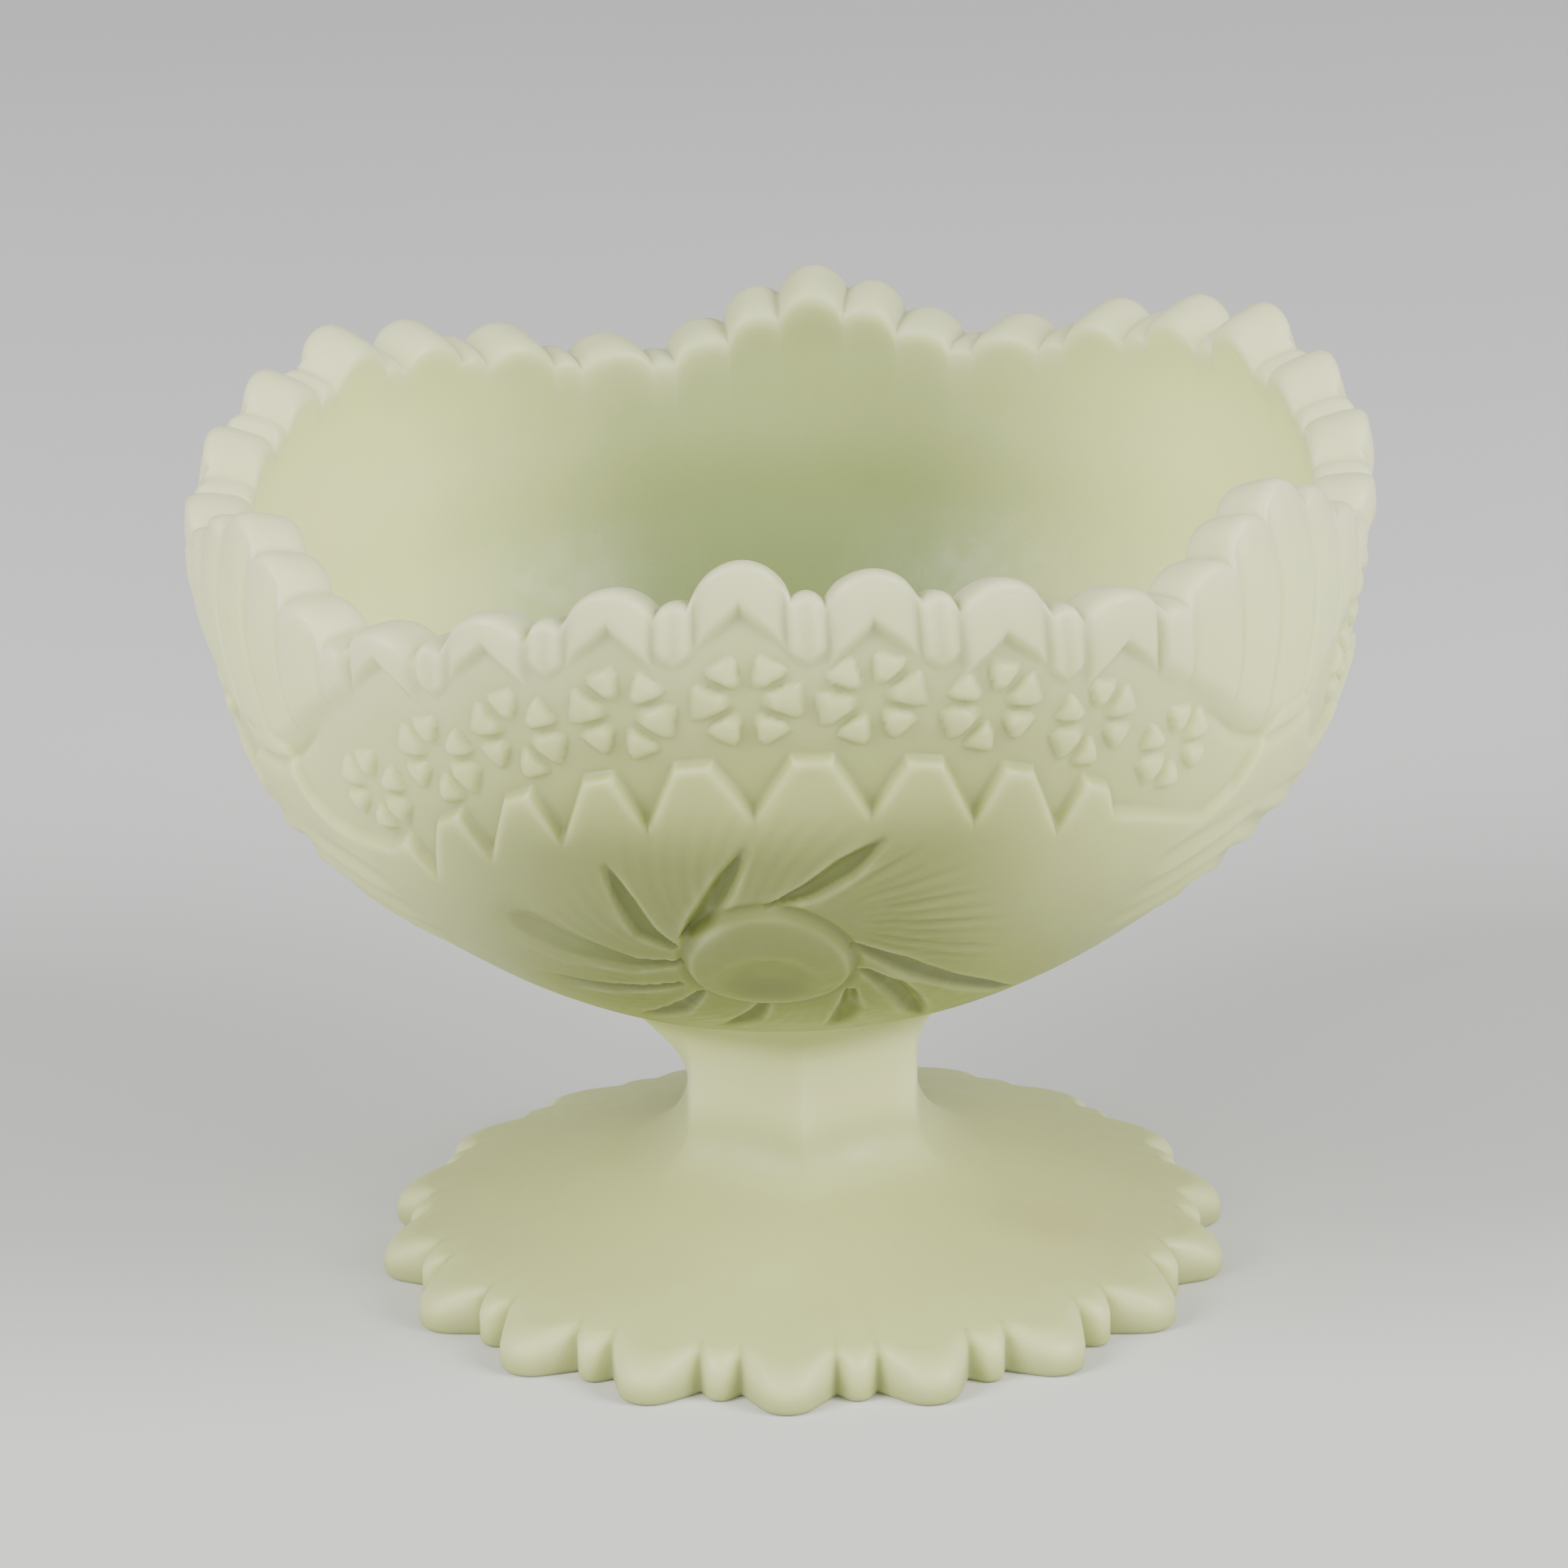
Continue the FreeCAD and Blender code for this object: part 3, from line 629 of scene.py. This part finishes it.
def make_stem():
    """Six-sided stem that runs out into the foot and the bowl through soft fillets."""
    turn = np.radians(np.arange(STEM_COLUMNS) * 360.0 / STEM_COLUMNS)[None, :]
    waist = stem_waist(turn)
    corner = (waist - waist.min()) / (waist.max() - waist.min())
    shift = BOWL_SHIFT * 0.6

    foot_r, foot_z = foot_flare(turn, np.linspace(FLARE_SPLIT, 0.0, 24)[:, None])
    start_r, start_z = foot_r[:1] - BUTT_GAP, foot_z[:1]
    bowl_r, bowl_z = bowl_flare(waist, turn, np.linspace(0.0, 1.0, 46)[:, None])
    straight = np.linspace(0.0, 1.0, 14)[1:-1, None]
    mid_r = waist * np.ones_like(straight)
    mid_z = foot_z[-1:] + (bowl_z[:1] - foot_z[-1:]) * straight
    tuck = np.linspace(0.0, 1.0, 5)[1:, None]
    top_r = bowl_r[-1:] + 0.4 * tuck
    top_z = bowl_z[-1:] + 1.6 * tuck

    radius = np.concatenate([start_r, foot_r, mid_r, bowl_r, top_r])
    z = np.concatenate([start_z, foot_z, mid_z, bowl_z, top_z])
    x = radius * np.cos(turn) + shift * smoothstep((z - 20.0) / 20.0)
    y = radius * np.sin(turn)
    # Painted highlight along the corners, painted light on the middle of the stem, painted shade at its top
    # under the bowl.
    ridge_highlight = corner**1.5 * smoothstep((z - 20.0) / 5.0) * smoothstep((34.0 - z) / 6.0)
    lit = smoothstep((z - 20.0) / 8.0) * (1.0 - smoothstep((z - 31.0) / 6.0))
    zero = np.zeros_like(radius)
    joint = 1.0 - smoothstep((z - foot_z[:1]) / JOINT_FADE)
    tints = {"raised": zero, "inside": zero, "near_rim": 0.40 * ridge_highlight, "up": 0.62 + 0.34 * lit,
             "edge": 0.5 * ridge_highlight, "side": 0.55 + 0.35 * lit, "painted_shade": 0.45 * smoothstep((z - 32.0) / 6.0),
             "stain": zero, "joint": joint}
    return grid_mesh("stem_glass", x, y, z, tints, sharp_row=1)


def lobe(aside, tip, tip_round, side_slope):
    """Radius of a pointed lobe with a rounded tip, by distance to the side of its middle."""
    lean = math.atan(side_slope)
    touch = tip_round * math.sin(lean)
    near = np.minimum(np.abs(aside), touch)
    fall = tip_round - np.sqrt(tip_round**2 - near**2)
    return tip - fall - np.clip(np.abs(aside) - touch, 0.0, None) * side_slope


def foot_outline(turn):
    """Radius of the foot's edge: large and small pointed lobes in turn."""
    pitch = 2.0 * math.pi / LOBES
    first = math.radians(LOBE_ANGLE)
    outline = [FOOT_BODY * np.ones_like(turn)]
    for offset, tip, tip_round, side_slope in ((0.0, *LARGE_LOBE), (pitch / 2, *SMALL_LOBE)):
        local = (turn - first - offset + pitch / 2) % pitch - pitch / 2
        outline.append(lobe(LOBE_RADIUS * local, tip, tip_round, side_slope))
    return soft_max(np.stack(outline), LOBE_SOFTNESS)


def make_foot():
    """Lobed plate: conical top, heavily rounded lobes, flat resting ring and a shallow hollow."""
    turn = np.radians(np.arange(FOOT_COLUMNS) * 360.0 / FOOT_COLUMNS)[None, :]
    edge = foot_outline(turn)
    ones = np.ones_like(turn)
    out = edge - FOOT_BODY
    fall_r = 1.3 + 0.60 * out
    fall_z = 1.5 + 0.36 * out

    neck_r, neck_z = foot_flare(turn, np.linspace(FLARE_SPLIT, 1.0, 30)[:, None])
    top_r = np.linspace(FLARE_RADIUS, SHELF_RADIUS, 44)[1:, None] * ones
    share = np.linspace(0.0, 1.0, 18)[1:, None]
    shelf_r = SHELF_RADIUS + (edge - fall_r - SHELF_RADIUS) * share
    bend = np.linspace(0.0, math.pi / 2, 19)[1:, None]
    bend_r = edge - fall_r + fall_r * np.sin(bend)
    side = np.linspace(0.0, 1.0, 9)[1:, None]
    start_r = edge - fall_r
    start_z = foot_top(start_r)
    bend_z = start_z - fall_z * (1.0 - np.cos(bend)) - FOOT_SLOPE * (bend_r - start_r) * 0.4
    side_z = bend_z[-1:] + (FOOT_LIP - bend_z[-1:]) * side
    side_r = edge * np.ones_like(side)
    low_r = edge - FOOT_LIP + FOOT_LIP * np.cos(bend)
    low_z = FOOT_LIP - FOOT_LIP * np.sin(bend) * ones
    under = np.linspace(1.0, 0.0, 24)[1:, None]
    ring_r = RING_RADIUS + (edge - FOOT_LIP - RING_RADIUS) * under
    hollow_r = np.linspace(RING_RADIUS, 0.6, 36)[1:, None] * ones
    hollow_z = HOLLOW_DEPTH * (1.0 - (hollow_r / RING_RADIUS) ** 4)
    section = ((neck_r[:1] - BUTT_GAP, neck_z[:1]), (neck_r, neck_z), (top_r, foot_top(top_r)),
               (shelf_r, foot_top(shelf_r)), (bend_r, bend_z), (side_r, side_z), (low_r, low_z),
               (ring_r, 0.0 * ring_r), (hollow_r, hollow_z))
    r, z = (np.concatenate(rows)[::-1] for rows in zip(*section))
    x, y = r * np.cos(turn), r * np.sin(turn)
    uneven = wander(x, y, z, *FOOT_WAVES) * smoothstep((z - 3.0) / 3.0) * smoothstep((r - 22.0) / 6.0)
    z = np.clip(z + uneven, 0.0, None)
    edge_near = np.exp(-np.clip(edge - r, 0.0, None) / 3.2) * smoothstep((out - 0.6) / 3.0 + 0.15)
    zero = np.zeros_like(r)
    # Painted shade low on the foot's sides and in the valleys between the lobes.
    top_side = smoothstep((z - 0.4) / 4.2)
    valley_shade = (1.0 - smoothstep(out / 2.0)) * smoothstep((r - edge + 2.2) / 1.6)
    stain = (((x - STAIN_PLACE[0]) / STAIN_SIZE[0]) ** 2 + ((y - STAIN_PLACE[1]) / STAIN_SIZE[1]) ** 2) ** 1.3
    joint = smoothstep((z - 10.0) / 5.0) * (1.0 - smoothstep((r - neck_r[:1]) / JOINT_FADE))
    tints = {"raised": -1.3 * valley_shade * top_side, "inside": zero, "near_rim": 0.60 * edge_near * top_side,
             "up": 0.20 + 0.42 * top_side - 0.2 * valley_shade, "edge": zero, "side": zero + 0.55, "painted_shade": zero,
             "stain": np.exp(-stain), "joint": joint}
    return grid_mesh("foot_glass", x, y, z, tints, sharp_row=len(r) - 2)


# ---------------------------------------------------------------- material

class Nodes:
    """Short way to write a node tree."""

    def __init__(self, tree):
        self.tree = tree

    def new(self, kind, **values):
        node = self.tree.nodes.new(kind)
        for name, value in values.items():
            setattr(node, name, value)
        return node

    def link(self, source, target):
        self.tree.links.new(source, target)

    def attribute(self, name):
        return self.new("ShaderNodeAttribute", attribute_name=name).outputs["Fac"]

    def math(self, operation, a, b=0.0, clamp=False):
        node = self.new("ShaderNodeMath", operation=operation, use_clamp=clamp)
        for socket, value in zip(node.inputs, (a, b)):
            if isinstance(value, (int, float)):
                socket.default_value = value
            else:
                self.link(value, socket)
        return node.outputs[0]

    def remap(self, value, low, high, to_low=0.0, to_high=1.0):
        node = self.new("ShaderNodeMapRange", interpolation_type="SMOOTHSTEP")
        self.link(value, node.inputs["Value"])
        for name, number in (("From Min", low), ("From Max", high), ("To Min", to_low), ("To Max", to_high)):
            node.inputs[name].default_value = number
        return node.outputs["Result"]

    def mix(self, share, first, second, blend="MIX"):
        node = self.new("ShaderNodeMix", data_type="RGBA", blend_type=blend)
        values = (share, first, second)
        for socket, value in zip((node.inputs["Factor"], node.inputs[6], node.inputs[7]), values):
            if hasattr(value, "is_output"):
                self.link(value, socket)
            else:
                socket.default_value = value if isinstance(value, (int, float)) else (*value, 1.0)
        return node.outputs[2]

    def noise(self, where, scale, detail=3.0, roughness=0.5, distortion=0.0):
        node = self.new("ShaderNodeTexNoise")
        self.link(where, node.inputs["Vector"])
        node.inputs["Scale"].default_value = scale
        node.inputs["Detail"].default_value = detail
        node.inputs["Roughness"].default_value = roughness
        node.inputs["Distortion"].default_value = distortion
        return node.outputs["Fac"]

    def bump(self, height, strength, distance, normal=None):
        node = self.new("ShaderNodeBump")
        self.link(height, node.inputs["Height"])
        node.inputs["Strength"].default_value = strength
        node.inputs["Distance"].default_value = distance
        if normal is not None:
            self.link(normal, node.inputs["Normal"])
        return node.outputs["Normal"]


# Glass colours from painted shade to painted light, the whiter rim, and the marks of use.
SHADE_DEEP = (0.285, 0.325, 0.090)
GREEN = (0.465, 0.505, 0.168)
LIT_PALE = (0.700, 0.730, 0.345)
WHITE = (0.760, 0.760, 0.505)
INNER = (0.520, 0.575, 0.250)
INNER_SHADE = (0.255, 0.315, 0.108)
INNER_LIT_SIDE = (0.900, 0.950, 0.450)
SHADE_DARKEST = (0.140, 0.165, 0.032)
LIT_SIDE = (0.920, 0.950, 0.500)
TAN = (0.40, 0.27, 0.13)
SOOT = (0.05, 0.045, 0.03)


def satin_glass():
    """Opaque satin glass whose colour carries painted light and shade: paler high up, on crests and at the
    sides, deeper green low down, in hollows, in front and under the bowl, and whiter towards the rim.
    """
    material = bpy.data.materials.new("satin_uranium_glass")
    material.use_nodes = True
    n = Nodes(material.node_tree)
    principled = material.node_tree.nodes["Principled BSDF"]
    where = n.new("ShaderNodeTexCoord").outputs["Object"]

    raised, inside = n.attribute("raised"), n.attribute("inside")
    near_rim, up = n.attribute("near_rim"), n.attribute("up")
    edge, side, painted_shade = n.attribute("edge"), n.attribute("side"), n.attribute("painted_shade")
    # Painted shade low down and painted light high up.
    outer = n.mix(n.remap(up, 0.12, 0.62), SHADE_DEEP, GREEN)
    outer = n.mix(n.remap(up, 0.45, 1.0, 0.0, 0.85), outer, LIT_PALE)
    # Painted shade on the front panels, in the flutes and under the bowl.
    outer = n.mix(n.math("MULTIPLY", painted_shade, 0.88, clamp=True), outer, SHADE_DARKEST)
    # Painted shade in sunk relief and between the foot's lobes.
    outer = n.mix(n.remap(raised, -1.8, 0.4, 0.35, 0.0), outer, SHADE_DEEP)
    # Painted highlight on crests, painted shade in crevices.
    outer = n.mix(n.remap(edge, 0.05, 0.80, 0.0, 0.28), outer, WHITE)
    outer = n.mix(n.remap(edge, -0.70, -0.10, 0.20, 0.0), outer, SHADE_DEEP)
    # Painted shade in front, painted light towards the sides.
    front = n.mix(1.0, outer, (0.90, 0.90, 0.88), "MULTIPLY")
    outer = n.mix(n.remap(side, 0.25, 0.95), front, n.mix(0.55, outer, LIT_SIDE))
    # Inside: painted shade low in the bowl, painted light towards its sides.
    inner = n.mix(n.remap(up, 0.35, 1.05), INNER_SHADE, INNER)
    inner = n.mix(n.remap(side, 0.20, 0.85), inner, INNER_LIT_SIDE)
    colour = n.mix(inside, outer, inner)
    # Whiter towards the bowl's rim and the top of the foot's edge; on the stem this is a painted highlight
    # along the corners.
    colour = n.mix(n.math("MULTIPLY", near_rim, 0.62), colour, WHITE)

    # Faint clouds in the glass, specks of dirt, small stains, and the one large stain on the foot.
    cloud = n.remap(n.noise(where, 55.0, 4.0, 0.55, 0.6), 0.35, 0.75, 0.0, 0.22)
    colour = n.mix(cloud, colour, n.mix(1.0, colour, (0.92, 0.97, 0.86), "MULTIPLY"))
    warm = n.remap(n.noise(where, 21.0, 3.0), 0.45, 0.8, 0.0, 0.35)
    colour = n.mix(warm, colour, n.mix(1.0, colour, (1.03, 0.99, 0.90), "MULTIPLY"))
    grime = n.math("MULTIPLY", n.remap(n.noise(where, 900.0, 3.0, 0.7), 0.70, 0.78),
                   n.remap(n.noise(where, 110.0, 2.0), 0.56, 0.68))
    colour = n.mix(n.math("MULTIPLY", grime, 0.45), colour, SOOT)
    stain = n.math("MULTIPLY", n.remap(n.noise(where, 160.0, 3.0, 0.6, 1.0), 0.66, 0.80),
                   n.remap(n.noise(where, 26.0, 1.0), 0.58, 0.70))
    colour = n.mix(n.math("MULTIPLY", stain, 0.35), colour, TAN)
    broken = n.remap(n.noise(where, 90.0, 3.0), 0.30, 0.65, 0.35, 1.0)
    patch = n.math("MULTIPLY", n.attribute("stain"), broken)
    colour = n.mix(n.math("MULTIPLY", patch, 0.22), colour, TAN)
    n.link(colour, principled.inputs["Base Color"])

    rough = n.remap(n.noise(where, 240.0, 4.0, 0.6), 0.25, 0.75, 0.40, 0.56)
    n.link(rough, principled.inputs["Roughness"])
    principled.inputs["IOR"].default_value = 1.5
    # Light doesn't pass from one mesh to the next, so scattering fades out where stem and foot meet.
    n.link(n.remap(n.attribute("joint"), 0.0, 1.0, 0.75, 0.0), principled.inputs["Subsurface Weight"])
    principled.inputs["Subsurface Radius"].default_value = (1.0, 1.0, 0.55)
    principled.inputs["Subsurface Scale"].default_value = 0.0050

    # Fine grain of the satin finish, then the slower waviness under it.
    grain = n.bump(n.noise(where, 1500.0, 2.0, 0.6), 0.18, 0.0002)
    waves = n.bump(n.noise(where, 130.0, 3.0, 0.5), 0.25, 0.0006, grain)
    n.link(waves, principled.inputs["Normal"])
    return material


# ---------------------------------------------------------------- stage

# Metres, watts and degrees. A light has its place, width and power.
FLOOR_HALF = 4.0
AIM = (0.0, 0.0, 0.08)
LIGHTS = (("key_light", (-1.15, -0.75, 1.05), 1.0, 30.0), ("side_light", (1.20, -0.65, 0.95), 1.0, 30.0),
          ("front_light", (0.05, -1.5, 0.45), 0.9, 6.0))
WORLD_COLOUR = (0.92, 0.94, 0.95, 1.0)
WORLD_STRENGTH = 0.35
CAMERA_PLACE = (-0.0016, -0.9047, 0.3788)
CAMERA_DOWN = 19.05
CAMERA_ROLL = -1.18
CAMERA_LENS = 165.3
SENSOR_WIDTH = 36.0


def make_floor():
    """Plain pale floor."""
    material = bpy.data.materials.new("pale_floor")
    material.use_nodes = True
    n = Nodes(material.node_tree)
    principled = material.node_tree.nodes["Principled BSDF"]
    where = n.new("ShaderNodeTexCoord").outputs["Object"]
    colour = n.mix(n.noise(where, 6.0), (0.70, 0.70, 0.69), (0.74, 0.74, 0.73))
    n.link(colour, principled.inputs["Base Color"])
    principled.inputs["Roughness"].default_value = 0.85
    mesh = bpy.data.meshes.new("floor")
    corners = [(-FLOOR_HALF, -FLOOR_HALF), (FLOOR_HALF, -FLOOR_HALF), (FLOOR_HALF, FLOOR_HALF),
               (-FLOOR_HALF, FLOOR_HALF)]
    mesh.from_pydata([(x, y, 0.0) for x, y in corners], [], [(0, 1, 2, 3)])
    mesh.materials.append(material)
    floor = bpy.data.objects.new("floor", mesh)
    bpy.context.collection.objects.link(floor)


def area_light(name, place, size, power):
    """Round soft light that faces the dish."""
    light = bpy.data.lights.new(name, "AREA")
    light.shape = "DISK"
    light.size = size
    light.energy = power
    lamp = bpy.data.objects.new(name, light)
    lamp.location = place
    direction = np.array(AIM) - np.array(place)
    lamp.rotation_euler = (math.atan2(math.hypot(direction[0], direction[1]), -direction[2]), 0.0,
                           math.atan2(direction[0], -direction[1]) + math.pi)
    bpy.context.collection.objects.link(lamp)


def light_stage():
    """Soft light from both sides, a little from the front, and a pale surround."""
    for name, place, size, power in LIGHTS:
        area_light(name, place, size, power)
    world = bpy.data.worlds.new("studio")
    world.use_nodes = True
    background = world.node_tree.nodes["Background"]
    background.inputs["Color"].default_value = WORLD_COLOUR
    background.inputs["Strength"].default_value = WORLD_STRENGTH
    bpy.context.scene.world = world


def make_camera():
    """In front of the dish, looking down at it by 19 degrees, held a little askew."""
    camera = bpy.data.objects.new("camera", bpy.data.cameras.new("camera"))
    camera.data.sensor_width = SENSOR_WIDTH
    camera.data.lens = CAMERA_LENS
    tilt = Matrix.Rotation(math.radians(90.0 - CAMERA_DOWN), 4, "X")
    roll = Matrix.Rotation(math.radians(CAMERA_ROLL), 4, "Z")
    camera.matrix_world = Matrix.Translation(CAMERA_PLACE) @ tilt @ roll
    bpy.context.collection.objects.link(camera)
    bpy.context.scene.camera = camera


GLASS = satin_glass()
for piece, node in ((make_bowl(), "bowl"), (make_stem(), "stem"), (make_foot(), "foot")):
    piece.data.materials.append(GLASS)
    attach(piece, "root")
    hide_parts(node)
make_floor()
light_stage()
make_camera()
